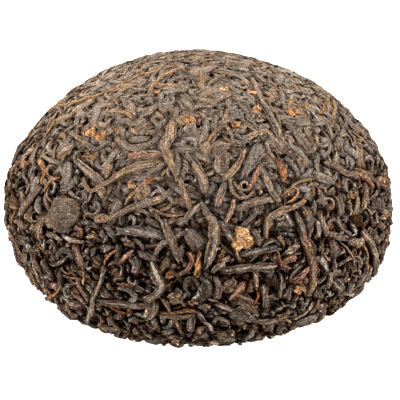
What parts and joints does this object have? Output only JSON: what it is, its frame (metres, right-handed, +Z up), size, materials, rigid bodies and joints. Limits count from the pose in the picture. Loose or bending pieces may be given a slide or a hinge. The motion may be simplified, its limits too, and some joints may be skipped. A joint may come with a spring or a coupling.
{
  "type": "pu erh tuocha",
  "caption": "Small dome of pressed ripe pu-erh tea leaves with a hollow underneath, standing on the ring round its mouth.",
  "frame": {"origin": "centre of the foot ring, on the surface that the cake stands on", "axes": "+Z up through the crown of the dome, -Y towards the viewer of the picture, +X to the viewer's right"},
  "size_m": [0.0848, 0.0848, 0.0449],
  "materials": {
    "tea_leaf": "dull dark brown pressed leaf with a slight sheen, paler stems and a few golden tips"
  },
  "bodies": {
    "root": {"tuocha": "tea_leaf"}
  },
  "joints": []
}
